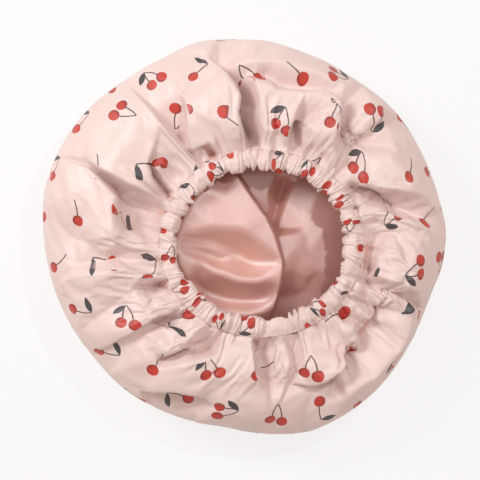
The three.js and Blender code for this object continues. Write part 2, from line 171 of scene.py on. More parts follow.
# The folds of the lining where it shows in the mouth, drawn the same way with heights over the floor.
# Its left side is raised and ends in an edge, under which the right side runs.
LINING_DRAWN = 0.72
LINING_EDGE = (
    (-100, 22), (-64, 32), (-49, 36), (-36, 38), (-25, 38), (1, 31), (19, 23), (42, 6), (61, -7),
    (100, -32),
)
LINING_LEFT = (
    ((-32, 100, 28), (-12, 70, 45), (-7, 61, 50), (6, 42, 50), (23, 19, 49), (31, 1, 49), (38, -25, 49),
     (38, -36, 49), (36, -49, 49), (32, -64, 47), (22, -100, 30)),
    ((-40, 46, 56), (-54, 30, 58), (-64, 10, 59), (-68, -8, 59), (-65, -28, 58), (-58, -46, 54),
     (-46, -64, 48)),
    ((-61, 0, 58), (-32, 9, 56), (-4, 7, 55), (10, -1, 52)),
    ((-61, -3, 54), (-32, -6, 46), (-8, -17, 39), (6, -26, 39)),
    ((-61, -6, 57), (-32, -11, 49), (-13, -22, 42)),
    ((-61, -10, 54), (-40, -18, 46), (-26, -24, 43)),
    ((-62, -15, 57), (-44, -25, 54), (-24, -36, 52), (-8, -43, 52), (11, -44, 52), (23, -40, 51)),
    ((-50, -48, 45), (-38, -56, 39), (-16, -63, 36), (4, -64, 36), (20, -61, 39)),
    ((-56, -60, 46), (-26, -75, 46), (4, -77, 46), (21, -73, 45)),
    ((-35, 30, 54), (-20, 40, 53)),
    ((-22, 56, 47), (-8, 52, 50)),
)
LINING_RIGHT = (
    ((-30, 100, 34), (-7, 61, 38), (6, 42, 34), (23, 19, 28), (31, 1, 42), (38, -25, 45), (38, -36, 44),
     (36, -49, 38), (32, -64, 30), (22, -100, 22)),
    # trough at the top
    ((32, 63, 32), (24, 43, 32), (25, 30, 31), (24, 22, 29)),
    ((41, 57, 14), (34, 34, 15), (29, 13, 22)),
    ((51, 57, 26), (41, 33, 28), (31, 7, 33)),
    # right side
    ((72, 40, 31), (82, 8, 32)),
    ((60, 6, 35), (64, -14, 36), (74, -34, 34)),
    ((50, -12, 40), (54, -26, 39)),
    ((49, -33, 40), (46, -50, 35)),
    ((62, -40, 36), (58, -56, 32)),
)

# Slow closed waves round the cap: seed, waves in a turn, size
RUN_WAVES = (3, (2, 3, 5, 7), 4.0)
TOP_WAVES = (5, (2, 3, 4, 6), 2.4)
WAIST_WAVES = (7, (2, 3, 5), 2.0)
WOBBLE_WAVES = (71, (5, 8, 13), 1.0)
WIDTH_WAVES = (73, (4, 7, 10, 13), 0.07)


def smooth(low, high, value):
    """A soft step from 0 at low to 1 at high."""
    share = np.clip((value - low) / (high - low), 0.0, 1.0)
    return share * share * (3.0 - 2.0 * share)


def waves(angle, seed, counts, size):
    rng = np.random.default_rng(seed)
    total = np.zeros_like(angle)
    for count in counts:
        total = total + rng.uniform(0.5, 1.0) * np.cos(count * angle + rng.uniform(0, TURN))
    return size * total / math.sqrt(len(counts))


def lengths(vectors):
    return np.linalg.norm(vectors, axis=-1)


def unit(vectors):
    return vectors / np.linalg.norm(vectors, axis=-1, keepdims=True)


def round_angles(count):
    return np.arange(count) / count * TURN


def directions(angle):
    """Unit vectors in plan."""
    return np.stack([np.cos(angle), np.sin(angle)], -1)


def plan_bearing(plan):
    """Bearing of a plan vector in degrees."""
    return np.degrees(np.arctan2(plan[..., 1], plan[..., 0]))


def length_property(name, description, value, low, high):
    return FloatProperty(
        name=name, description=description, default=value, min=low, max=high, unit="LENGTH")


class CapSizes(bpy.types.PropertyGroup):
    """Sizes of the cap that a maker would change."""
    casing_width: length_property(
        "Casing width", "Width of the turned hem from mouth to seam", 0.0132, 0.008, 0.03)
    base_radius: length_property(
        "Base radius", "Radius of the flat that the crown lies on", 0.104, 0.05, 0.13)
    waist_height: length_property("Waist height", "Height at which the cap is widest", 0.034, 0.01, 0.06)
    crest_run: length_property(
        "Crest run", "Distance from the seam to the highest part of the cloth", 0.026, 0.01, 0.05)
    cloth: length_property("Cloth", "Thickness of each cloth", 0.0003, 0.0001, 0.001)
    shell_cut: length_property("Outer cut", "Diameter of the outer cloth before gathering", 0.48, 0.3, 0.7)
    lining_cut: length_property("Lining cut", "Diameter of the lining before gathering", 0.47, 0.3, 0.7)
    ruffle_width: length_property(
        "Ruffle width", "Mean width of a gather along the seam", 0.0095, 0.003, 0.02)
    ruffle_height: length_property(
        "Ruffle height", "Depth of the creases between gathers", 0.0042, 0.001, 0.006)
    thread: length_property("Thread", "Diameter of the sewing thread", 0.00045, 0.0002, 0.001)
    motif_cell: length_property("Print spacing", "Distance between motifs of the print", 0.036, 0.02, 0.08)
    stitches: IntProperty(
        name="Stitches", description="Stitches round the seam", default=150, min=40, max=300)


def power_property(name, description, value):
    return FloatProperty(name=name, description=description, default=value, min=0, unit="POWER")


def colour_property(name, description, value):
    return FloatVectorProperty(
        name=name, description=description, default=value, size=3, min=0, max=1, subtype="COLOR")


class CapColours(bpy.types.PropertyGroup):
    """Colours of the cap's cloths and threads, as linear values."""
    blush: colour_property("Blush", "Ground of the outer cloth", (0.86, 0.715, 0.69))
    cherry: colour_property("Cherry", "Fruit of the print", (0.53, 0.022, 0.007))
    stem: colour_property("Stem", "Stems of the print", (0.05, 0.025, 0.028))
    leaf: colour_property("Leaf", "Leaves of the print", (0.038, 0.034, 0.044))
    satin: colour_property("Satin", "Lining", (0.71, 0.31, 0.245))
    thread: colour_property("Thread", "Sewing thread", (0.76, 0.52, 0.47))
    elastic: colour_property("Elastic", "Elastic loop", (0.85, 0.80, 0.77))


class CapStage(bpy.types.PropertyGroup):
    """Camera, lights and floor."""
    lens: FloatProperty(name="Lens", description="Focal length", default=100.0, min=35, max=200)
    distance: length_property("Camera height", "Height of the camera above the floor", 1.0, 0.4, 3)
    key: power_property("Key", "Power of the hard light from the right", 1.8)
    fill: power_property("Fill", "Power of the broad light from the left", 4.4)
    sky: FloatProperty(name="Sky", description="Strength of the even light", default=0.55, min=0)


def sizes():
    return bpy.context.scene.cap_sizes


def colours():
    return bpy.context.scene.cap_colours


# Cap form

BASE, LOWER, UPPER, SLOPE, TUCK = range(5)

# Shares of the base's radius for its rings, each with twice the points of the ring before it
BASE_SHARES = (0.08, 0.22, 0.45, 0.72, 1.0)
LOWER_RINGS = 5
UPPER_RINGS = 40
SLOPE_RINGS = 14
TUCK_WIDTH = 4.0  # of the cloth's edge inside the casing (mm)
HEM_RISE = 0.7
WAIST_RING = len(BASE_SHARES) + LOWER_RINGS - 1
HEM_RING = -3  # counted from the end of the full grid
COARSE_HEM_RING = -2

RIDGE_GAIN = 1.7
VALLEY_GAIN = 2.9
FOLD_BLUR = 0.55  # radius over which the edges of the drawing are rounded (mm)
BLUR_STEPS = 6
FOLD_LEAN = (0.19, -0.12)  # the folds lie over to the lower right, so that their edges hang over
HEM_STEP, WAIST_STEP = 24, 16  # columns from point to point of the rims of the fold drawing

# A ridge narrower than so many columns to each side loses a share of what it has over the free height (mm)
NARROW_RIDGE = 8
TRIM_SHARE = 0.7
TRIM_FREE = 2.0

CREASE_SEED = 23
ANCHOR_REACH = 1.45  # a valley that ends within this many casing radii starts a crease
GATHER_SPREAD = 0.55
CREASE_REACH = (14, 40)  # from the seam (mm)
CREASE_DEPTH = (0.7, 1.15)
CREASE_SLANT = (-0.5, 0.5)
CREASE_EDGE = 2.4  # power that narrows a crease

# Uneven swells of the panels: length and height (mm)
SWELLS = ((46.0, 0.8), (27.0, 0.5), (15.0, 0.25))
SWELL_WAVES = 5
SWELL_SEED = 41

# Distances over which folds and swells grow from nothing (mm)
LEAN_FROM_HEM = (3, 14)
SWELL_FROM_HEM = (4, 30)
SWELL_FROM_WAIST = (2, 16)
SWELL_FROM_GROUND = (0, 8)


def beside_mouth(angle, out):
    """Plan points at a distance outside the mouth's edge."""
    half = CASING_HALF - sizes().casing_width / MM
    cos, sin = np.cos(angle), np.sin(angle)
    normal = unit(np.stack([half[1] * cos, half[0] * sin], -1))
    edge = np.stack([half[0] * cos, half[1] * sin], -1)
    return MOUTH_CENTRE + edge + normal * np.asarray(out)[..., None]


def widest(angle):
    """Plan outline of the cap at its widest."""
    bearings, radii = np.array(OUTLINE).T
    around = np.interp(np.degrees(angle), bearings, radii, period=360)
    for _ in range(2):
        around = (np.roll(around, 3) + around + np.roll(around, -3)) / 3
    return directions(angle) * around[:, None]


def shell_places():
    """The rings of the outer cloth, from the crown's centre to the hem."""
    places = [(BASE, share) for share in BASE_SHARES]
    places += [(LOWER, share) for share in np.linspace(0, 1, LOWER_RINGS + 1)[1:]]
    places += [(UPPER, 1 - (1 - share) ** 1.2) for share in np.linspace(0, 1, UPPER_RINGS + 1)[1:]]
    places += [(SLOPE, share) for share in np.linspace(0, 1, SLOPE_RINGS + 1)[1:]]
    return places + [(TUCK, 0.5), (TUCK, 1.0)]


def coarse(grid):
    """Every second column of a grid, and every second ring above the waist."""
    return np.concatenate([grid[:WAIST_RING], grid[WAIST_RING::2]])[:, ::2]


def refined(grid):
    """A coarse grid with the columns and rings put back that were left out."""
    upper = grid[WAIST_RING:]
    between = np.empty((2 * len(upper) - 1, *upper.shape[1:]))
    between[::2] = upper
    between[1::2] = (upper[1:] + upper[:-1]) / 2
    rows = np.concatenate([grid[:WAIST_RING], between])
    full = np.empty((len(rows), 2 * rows.shape[1], *rows.shape[2:]))
    full[:, ::2] = rows
    full[:, 1::2] = (rows + np.roll(rows, -1, 1)) / 2
    return full


def envelope(angle):
    """Points of the cap's surface before it is folded, ring by ring."""
    size = sizes()
    casing = size.casing_width / MM
    base = size.base_radius / MM * directions(angle)
    wide = widest(angle)
    hem = beside_mouth(angle, np.full_like(angle, casing))
    tuck = beside_mouth(angle, np.full_like(angle, casing - TUCK_WIDTH))
    run = size.crest_run / MM + waves(angle, *RUN_WAVES)
    crest = hem + unit(wide - hem) * run[:, None]
    top = CREST_HEIGHT + waves(angle, *TOP_WAVES)
    waist = size.waist_height / MM + waves(angle, *WAIST_WAVES)
    hem_z = HEM_HEIGHT + HEM_RISE
    rings = []
    for zone, share in shell_places():
        turn = share * math.pi / 2
        if zone == BASE:
            plan = base * share
            height = np.zeros_like(angle)
        elif zone == LOWER:
            plan = base + (wide - base) * math.sin(turn)
            height = waist * (1 - math.cos(turn))
        elif zone == UPPER:
            plan = crest + (wide - crest) * math.cos(turn)
            height = waist + (top - waist) * math.sin(turn)
        elif zone == SLOPE:
            plan = crest + (hem - crest) * share
            height = top + (hem_z - top) * float(smooth(0, 1, np.array(share)))
        else:
            plan = hem + (tuck - hem) * share
            height = np.full_like(angle, hem_z)
        rings.append(np.concatenate([plan, height[:, None]], -1))
    return np.array(rings)


def gather_creases():
    """Bearing, depth share, reach and room on both sides of every crease between gathers."""
    rng = np.random.default_rng(CREASE_SEED)
    seam = float(np.mean(CASING_HALF))
    mean = sizes().ruffle_width / MM
    anchors = []
    for line in FOLD_LINES:
        away = np.array(line[-1][:2]) * DRAWN - MOUTH_CENTRE
        if line[-1][2] < 0 and np.linalg.norm(away / CASING_HALF) < ANCHOR_REACH:
            anchors.append(math.degrees(math.atan2(away[1], away[0])) % 360)
    anchors.sort()
    bearings = []
    for index, start in enumerate(anchors):
        gap = (anchors[(index + 1) % len(anchors)] - start) % 360
        count = max(1, round(math.radians(gap) * seam / mean))
        cuts = np.cumsum(rng.lognormal(0, GATHER_SPREAD, count))
        bearings += [start + gap * cut / cuts[-1] for cut in np.concatenate([[0], cuts[:-1]])]
    bearings = np.array(bearings) % 360
    bearings.sort()
    after = (np.roll(bearings, -1) - bearings) % 360
    room = np.minimum(np.roll(after, 1), after) / np.mean(after)
    depth = np.clip(0.55 + 0.45 * room, 0.5, 1.25) * rng.uniform(*CREASE_DEPTH, len(bearings))
    reach = rng.uniform(*CREASE_REACH, len(bearings)) * np.clip(room, 0.7, 1.4)
    slant = rng.uniform(*CREASE_SLANT, len(bearings))
    return {"bearing": bearings, "after": after, "depth": depth, "reach": reach, "slant": slant}


def crease_share(creases, bearing):
    """For each bearing its gather, the nearest crease and how close that is, 1 on it and 0 midway."""
    places = creases["bearing"]
    count = len(places)
    low = (np.searchsorted(places, bearing % 360, side="right") - 1) % count
    along = ((bearing - places[low]) % 360) / creases["after"][low]
    nearest = np.where(along < 0.5, low, (low + 1) % count)
    return low, nearest, np.abs(2 * along - 1)


def drawn_heights(plan, lines, scale, rims):
    """Heights of a fold drawing at plan points: flat facets between its ridges, valleys and rims."""
    spots, heights, edges = [], [], []
    for ring, level in rims:
        first = len(spots)
        spots += [Vector(spot) for spot in ring.tolist()]
        heights += [level] * len(ring)
        edges += [(first + k, first + (k + 1) % len(ring)) for k in range(len(ring))]
    for line in lines:
        edges += [(len(spots) + k, len(spots) + k + 1) for k in range(len(line) - 1)]
        spots += [Vector((x * scale, y * scale)) for x, y, _ in line]
        heights += [height for _, _, height in line]
    corners, _, facets, origin, _, _ = delaunay_2d_cdt(spots, edges, [], 0, 1e-4)
    corners = np.array([tuple(corner) for corner in corners])
    levels = np.array([np.mean([heights[k] for k in known]) if known else 0.0 for known in origin])
    total = np.zeros(plan.shape[:-1])
    for facet in facets:
        a, b, c = triangle = corners[list(facet)]
        whole = (b[0] - a[0]) * (c[1] - a[1]) - (b[1] - a[1]) * (c[0] - a[0])
        near = np.all((plan >= triangle.min(0)) & (plan <= triangle.max(0)), -1)
        offset = plan[near] - a
        second = (offset[:, 0] * (c[1] - a[1]) - offset[:, 1] * (c[0] - a[0])) / whole
        third = (offset[:, 1] * (b[0] - a[0]) - offset[:, 0] * (b[1] - a[1])) / whole
        inside = (second >= -1e-6) & (third >= -1e-6) & (second + third <= 1 + 1e-6)
        low, middle, high = levels[list(facet)]
        height = low * (1 - second - third) + middle * second + high * third
        total[near] = np.where(inside, height, total[near])
    return total


def softened_heights(plan, blur, *drawing):
    """The drawn heights with their edges rounded over a small distance, in mm."""
    total = np.zeros(plan.shape[:-1])
    for step in range(BLUR_STEPS):
        turn = step * TURN / BLUR_STEPS
        shift = blur * np.array([math.cos(turn), math.sin(turn)])
        total += drawn_heights(plan + shift, *drawing) / BLUR_STEPS
    return total


def fold_heights(points, run):
    """How far the folds raise or press the cloth, in mm."""
    first = WAIST_RING + 1
    hem, wide = points[HEM_RING, :, :2], points[WAIST_RING, :, :2]
    lift = np.zeros_like(run)
    rims = ((hem[::HEM_STEP], 0.0), (wide[::WAIST_STEP], 0.0))
    drawn = softened_heights(points[first:HEM_RING, :, :2], FOLD_BLUR, FOLD_LINES, DRAWN, rims)
    lift[first:HEM_RING] = drawn * np.where(drawn > 0, RIDGE_GAIN, VALLEY_GAIN)
    creases = gather_creases()
    _, nearest, close = crease_share(creases, plan_bearing(points[..., :2] - MOUTH_CENTRE))
    fade = 1 - smooth(0.25 * creases["reach"][nearest], creases["reach"][nearest], run)
    return lift - sizes().ruffle_height / MM * creases["depth"][nearest] * fade * close ** CREASE_EDGE


def fine_wrinkles(points, run):
    """Small uneven swells that keep the panels from being plain, in mm."""
    rng = np.random.default_rng(SWELL_SEED)
    total = np.zeros(points.shape[:2])
    for size, height in SWELLS:
        for _ in range(SWELL_WAVES):
            way = rng.normal(size=3)
            way = way / np.linalg.norm(way) * TURN / (size * rng.uniform(0.7, 1.4))
            total += height * np.sin(points @ way + rng.uniform(0, TURN)) / math.sqrt(SWELL_WAVES)
    level = points[..., 2]
    total = total * smooth(*SWELL_FROM_HEM, run)
    total = total * smooth(*SWELL_FROM_WAIST, np.abs(level - sizes().waist_height / MM))
    return total * smooth(*SWELL_FROM_GROUND, level)


def outward(points):
    """Unit normals of a grid of rings, pointing out of the cap."""
    round_way = np.roll(points, -1, 1) - np.roll(points, 1, 1)
    return unit(np.cross(round_way, np.gradient(points, axis=0)))


def least_near(grid, reach, axis):
    """The least value within so many rows or columns of each place."""
    return np.min([np.roll(grid, step, axis) for step in range(-reach, reach + 1)], 0)


def trimmed(lift):
    """Lowers the ridges that are too narrow and steep for cloth to stand up in."""
    wide = -least_near(-least_near(lift, NARROW_RIDGE, 1), NARROW_RIDGE, 1)
    return lift - TRIM_SHARE * np.maximum(lift - wide - TRIM_FREE, 0)


def shell_form(points):
    """Folds the plain outer cloth, and measures the distance of each point from the hem."""
    path = np.cumsum(np.concatenate([lengths(points[0])[None], lengths(np.diff(points, axis=0))]), 0)
    run = path[HEM_RING][None] - path
    lift = trimmed(fold_heights(points, run))
    lean = (lift * smooth(*LEAN_FROM_HEM, run))[..., None] * np.array([*FOLD_LEAN, 0])
    lift += fine_wrinkles(points, run)
    folded = points + outward(points) * lift[..., None] + lean
    folded[..., 2] = np.maximum(folded[..., 2], 0.0)
    return folded, run


# Mesh helpers

def active(obj):
    bpy.ops.object.select_all(action="DESELECT")
    obj.select_set(True)
    bpy.context.view_layer.objects.active = obj


def mesh_object(name, points, faces):
    """A smooth object of points in metres."""
    mesh = bpy.data.meshes.new(name)
    mesh.from_pydata(points.tolist(), [], faces)
    mesh.shade_smooth()
    obj = bpy.data.objects.new(name, mesh)
    bpy.context.scene.collection.objects.link(obj)
    return obj


def applied(obj, kind, **settings):
    """Adds a modifier, applies it and keeps the shading smooth."""
    active(obj)
    bpy.ops.object.modifier_add(type=kind)
    modifier = obj.modifiers[-1]
    for name, value in settings.items():
        setattr(modifier, name, value)
    bpy.ops.object.modifier_apply(modifier=modifier.name)
    bpy.ops.object.shade_smooth()


def cloth_grid(name, rings, pole=None, flip=False, close_rows=False):
    """A mesh of closed rings of points in mm. A ring may have half as many points as the next one."""
    counts = [len(ring) for ring in rings]
    starts = np.cumsum([0 if pole is None else 1] + counts)
    faces = []
    if pole is not None:
        faces += [(0, 1 + (j + 1) % counts[0], 1 + j) for j in range(counts[0])]
    last = len(rings) if close_rows else len(rings) - 1
    for row in range(last):
        after = (row + 1) % len(rings)
        low, high = starts[row], starts[after]
        for j in range(counts[row]):
            ahead = (j + 1) % counts[row]
            if counts[row] == counts[after]:
                faces.append((low + j, low + ahead, high + ahead, high + j))
            else:
                middle = 2 * j + 1
                faces.append((low + j, high + middle, high + middle - 1))
                faces.append((low + j, low + ahead, high + (middle + 1) % counts[after], high + middle))
    if flip:
        faces = [face[::-1] for face in faces]
    points = np.concatenate(([] if pole is None else [np.asarray(pole)[None]]) + list(rings))
    return mesh_object(name, points * MM, [tuple(int(corner) for corner in face) for face in faces])


def mesh_values(items, name, size=1, kind=np.int32):
    """One value, or so many values, of every item of a mesh."""
    found = np.empty(len(items) * size, dtype=kind)
    items.foreach_get(name, found)
    return found


def write_uv(obj, charts, chart_of_face):
    """Writes the flat-cut map: each face takes its corners from one chart of points."""
    mesh = obj.data
    chart = np.repeat(chart_of_face, mesh_values(mesh.polygons, "loop_total"))
    placed = np.stack(charts)[chart, mesh_values(mesh.loops, "vertex_index")]
    layer = mesh.uv_layers.new(name="cut")
    layer.uv.foreach_set("vector", placed.astype(np.float32).ravel())


def ring_of_face(obj, ring_of_point):
    """The lowest ring that each face of a grid touches."""
    corner = mesh_values(obj.data.loops, "vertex_index")
    first = mesh_values(obj.data.polygons, "loop_start")
    return np.minimum.reduceat(np.asarray(ring_of_point)[corner], first)


def read_points(obj):
    return mesh_values(obj.data.vertices, "co", 3, float).reshape(-1, 3)


def write_points(obj, points):
    obj.data.vertices.foreach_set("co", np.asarray(points).ravel())
    obj.data.update()


def slack_rest(rings, slack):
    """The same folded rings drawn wider by their slack, at the same distance from each other."""
    drawn = []
    reach = 0.0
    before = None
    for ring, extra in zip(rings, slack):
        plan = ring[:, :2] - MOUTH_CENTRE * MM
        radius = lengths(plan).mean() * extra
        level = ring[:, 2].mean()
        if before is not None:
            old, old_radius = before
            gap = lengths(ring[::len(ring) // len(old)] - old).mean()
            reach += math.sqrt(max(gap ** 2 - (radius - old_radius) ** 2, (0.2 * gap) ** 2))
        before = ring, radius
        drawn.append(np.concatenate([plan * extra, ring[:, 2:] - level + reach], -1))
    return drawn


SETTLE_FRAMES = 24
CLOTH_SETTINGS = {
    "quality": 6, "mass": 0.12,
    "tension_stiffness": 40, "compression_stiffness": 40, "shear_stiffness": 20,
    "tension_damping": 10, "compression_damping": 10, "shear_damping": 10, "bending_damping": 0.5,
    "air_damping": 2, "pin_stiffness": 1,
}


def settle(obj, pinned, rest, most, bend):
    """Lets slack cloth buckle and sag by simulation, each point moving no further than most (m)."""
    before = read_points(obj)
    group = obj.vertex_groups.new(name="held")
    for index, share in enumerate(pinned):
        group.add([index], float(share), "REPLACE")
    obj.shape_key_add(name="gathered")
    flat = obj.shape_key_add(name="cut")
    flat.data.foreach_set("co", np.asarray(rest).ravel())
    active(obj)
    bpy.ops.object.modifier_add(type="CLOTH")
    cloth = obj.modifiers[-1]
    for name, value in CLOTH_SETTINGS.items():
        setattr(cloth.settings, name, value)
    cloth.settings.rest_shape_key = flat
    cloth.settings.bending_stiffness = bend
    cloth.settings.vertex_group_mass = group.name
    cloth.collision_settings.use_collision = False
    cloth.collision_settings.use_self_collision = True
    cloth.collision_settings.self_distance_min = 0.001
    cloth.point_cache.frame_start = 1
    cloth.point_cache.frame_end = SETTLE_FRAMES
    scene = bpy.context.scene
    for number in range(1, SETTLE_FRAMES + 1):
        scene.frame_set(number)
    bpy.ops.object.modifier_apply_as_shapekey(modifier=cloth.name)
    after = mesh_values(obj.data.shape_keys.key_blocks[-1].data, "co", 3, float)
    bpy.ops.object.shape_key_remove(all=True)
    scene.frame_set(1)
    obj.vertex_groups.clear()
    moved = after.reshape(-1, 3) - before
    length = lengths(moved)[:, None]
    after = before + moved * np.minimum(1, most / np.maximum(length, 1e-9))
    after[:, 2] = np.maximum(after[:, 2], 0.0)
    write_points(obj, after)


# Shader helpers

def math_operator(operation, swapped=False):
    """A method that joins two values by a Math node."""
    def operate(self, other=0.0):
        first, second = (other, self) if swapped else (self, other)
        return self.finish.node("ShaderNodeMath", {"operation": operation}, {0: first, 1: second})
    return operate


class Wire:
    """One shader value. Sums, products and shares of wires add Math nodes."""
    __add__ = math_operator("ADD")
    __radd__ = math_operator("ADD", True)
    __sub__ = math_operator("SUBTRACT")
    __rsub__ = math_operator("SUBTRACT", True)
    __mul__ = math_operator("MULTIPLY")
    __truediv__ = math_operator("DIVIDE")
    __mod__ = math_operator("FLOORED_MODULO")
    __abs__ = math_operator("ABSOLUTE")
    floor = math_operator("FLOOR")

    def __init__(self, finish, socket):
        self.finish = finish
        self.socket = socket


class Finish:
    """A procedural material and its nodes."""

    def __init__(self, name):
        self.material = bpy.data.materials.new(name)
        self.material.use_nodes = True
        self.tree = self.material.node_tree
        self.shader = self.tree.nodes["Principled BSDF"]

    def node(self, kind, settings=None, sockets=None, out=0):
        """Adds a node, sets its settings, then its sockets, and returns one of its outputs."""
        made = self.tree.nodes.new(kind)
        for name, value in (settings or {}).items():
            setattr(made, name, value)
        for name, value in (sockets or {}).items():
            self.feed(made.inputs[name], value)
        return Wire(self, made.outputs[out])

    def feed(self, socket, value):
        if isinstance(value, Wire):
            self.tree.links.new(value.socket, socket)
        else:
            socket.default_value = value

    def set(self, **values):
        """Sets or links the shader's sockets, written with underscores for spaces."""
        for name, value in values.items():
            self.feed(self.shader.inputs[name.replace("_", " ")], value)

    def step(self, value, low, high):
        return self.node("ShaderNodeMapRange", {"interpolation_type": "SMOOTHSTEP"},
                         {"Value": value, "From Min": low, "From Max": high})

    def mix(self, share, first, second):
        """A colour between two colours."""
        return self.node("ShaderNodeMix", {"data_type": "RGBA"}, {0: share, 6: first, 7: second}, 2)

    def vector(self, operation, first, second, out=0):
        return self.node("ShaderNodeVectorMath", {"operation": operation}, {0: first, 1: second}, out)

    def noise(self, place, scale, detail=2.0, rough=0.5):
        return self.node("ShaderNodeTexNoise", {},
                         {"Vector": place, "Scale": scale, "Detail": detail, "Roughness": rough})

    def wave(self, place, scale, distortion, detail=2.0, **settings):
        return self.node("ShaderNodeTexWave", settings,
                         {"Vector": place, "Scale": scale, "Distortion": distortion, "Detail": detail})

    def place(self):
        """Where a point lies on the object, in metres."""
        return self.node("ShaderNodeTexCoord", out=3)

    def chances(self, x, y):
        """Three random shares for a pair of whole numbers."""
        return self.axes(self.node(
            "ShaderNodeTexWhiteNoise", {"noise_dimensions": "2D"}, {"Vector": self.join(x, y)}, 1))

    def axes(self, place):
        split = self.tree.nodes.new("ShaderNodeSeparateXYZ")
        self.feed(split.inputs[0], place)
        return [Wire(self, output) for output in split.outputs]

    def join(self, x, y, z=0.0):
        return self.node("ShaderNodeCombineXYZ", {}, {0: x, 1: y, 2: z})

    def bump(self, height, strength, distance):
        return self.node("ShaderNodeBump", {},
                         {"Height": height, "Strength": strength, "Distance": distance})


def shaded(colour, *shares):
    """A colour with its channels scaled, all by one share or each by its own, as RGBA."""
    shares = shares * 3 if len(shares) == 1 else shares
    return (*(min(1.0, value * share) for value, share in zip(colour, shares)), 1.0)


def rgba(colour):
    return (*colour, 1.0)


BASE_ISLAND = 1.0  # the base's flat map lies this far beside that of the top cloth (m)
MOTIF_ROOM = 0.0125  # from a motif's middle to the edge of its map (m)
MOTIF_SHIFT = 0.0035  # of a motif in its cell (m)
TAUT_LIMITS = (2.2, 2.5)  # the print fades out where the cloth is drawn out this many times
TWIN_CHANCE = (0.499, 0.501)
LEAF_CHANCE = (0.42, 0.421)

# A motif in mm, its stems meeting at their foot: fruits, their lit sides and the two arcs of the leaf
# (x, y, radius), and the stems (foot, bow, low end, high end, lean)
FRUITS = ((-3.6, 6.6, 4.15), (5.4, 4.6, 4.0))
LIT_SIDES = ((-4.9, 6.9, 3.7), (4.2, 5.4, 3.6))
LEAF_ARCS = ((2.24, 0.6, 9.28), (10.36, -11.0, 9.28))
STEMS = ((1.4, -3.2, -8.6, 3.4, -4.4), (1.4, 3.4, -8.6, 1.6, 3.0))
STEM_FOOT = (1.4, -8.6)
VEIN_WAY = (0.574, 0.819)
DISC_EDGE = 0.12
STEM_EDGE = (0.3, 0.65)
VEIN_EDGE = (0.05, 0.3)


def print_masks(finish, place, top_edge, base_edge):
    """Masks of a tossed fruit print drawn on the flat cut: fruit, shade on fruit, stems and leaves."""
    cell = sizes().motif_cell
    u, v, _ = finish.axes(place)
    row = (v / cell).floor()
    half_step = row % 2.0 * 0.5
    column = (u / cell + half_step).floor()
    centre_u = (column - half_step + 0.5) * cell
    centre_v = (row + 0.5) * cell
    turn, shift, kind = finish.chances(column, row)
    slide, leafy, tone = finish.chances(column + 37.0, row + 11.0)
    offset = finish.join(u - centre_u - (shift - 0.5) * MOTIF_SHIFT,
                         v - centre_v - (slide - 0.5) * MOTIF_SHIFT)
    spot = finish.node("ShaderNodeVectorRotate", {"rotation_type": "Z_AXIS"},
                       {"Vector": offset, "Angle": turn * TURN})
    spot = finish.vector("MULTIPLY", spot, (1 / MM, 1 / MM, 0))
    x, y, _ = finish.axes(spot)

    def clear_of(edge, across, along):
        away = finish.vector("LENGTH", finish.join(across, along), (0, 0, 0), 1)
        return 1 - finish.step(away, edge - MOTIF_ROOM, edge - MOTIF_ROOM + 0.0001)

    on_base = finish.step(u, 0.499 * BASE_ISLAND, 0.501 * BASE_ISLAND)
    top_room = clear_of(top_edge, centre_u, centre_v)
    base_room = clear_of(base_edge, centre_u - BASE_ISLAND, centre_v)
    taut = finish.node("ShaderNodeAttribute", {"attribute_name": "taut"}, {}, 2)
    room = (top_room * (1 - on_base) + base_room * on_base) * (1 - finish.step(taut, *TAUT_LIMITS))
    twin = finish.step(kind, *TWIN_CHANCE) * room
    leafed = finish.step(leafy, *LEAF_CHANCE) * room

    def disc(cx, cy, size):
        away = finish.vector("DISTANCE", spot, (cx, cy, 0), 1)
        return 1 - finish.step(away, size - DISC_EDGE, size + DISC_EDGE)

    def stalk(sx, bow, low, high, lean):
        """A bowed line from low to high, leaning from sx at its foot."""
        up = (y - low) / (high - low)
        middle = sx + up * lean + up * (1 - up) * bow
        line = 1 - finish.step(abs(x - middle), *STEM_EDGE)
        return line * finish.step(up, -0.02, 0.02) * (1 - finish.step(up, 0.98, 1.02))

    first = disc(*FRUITS[0])
    second = disc(*FRUITS[1]) * twin
    fruit = first * room + second * (1 - first)
    shade = disc(*LIT_SIDES[0]) * first + disc(*LIT_SIDES[1]) * second
    stem = stalk(*STEMS[0]) * room
    stem = stem + stalk(*STEMS[1]) * twin * (1 - stem)
    stem = stem * (1 - fruit)
    leaf = disc(*LEAF_ARCS[0]) * disc(*LEAF_ARCS[1]) * leafed * (1 - stem)
    beside_vein = (x - STEM_FOOT[0]) * VEIN_WAY[0] - (y - STEM_FOOT[1]) * VEIN_WAY[1]
    vein = 1 - finish.step(abs(beside_vein), *VEIN_EDGE)
    return {"fruit": fruit, "shade": shade, "stem": stem, "leaf": leaf, "vein": vein, "tone": tone}


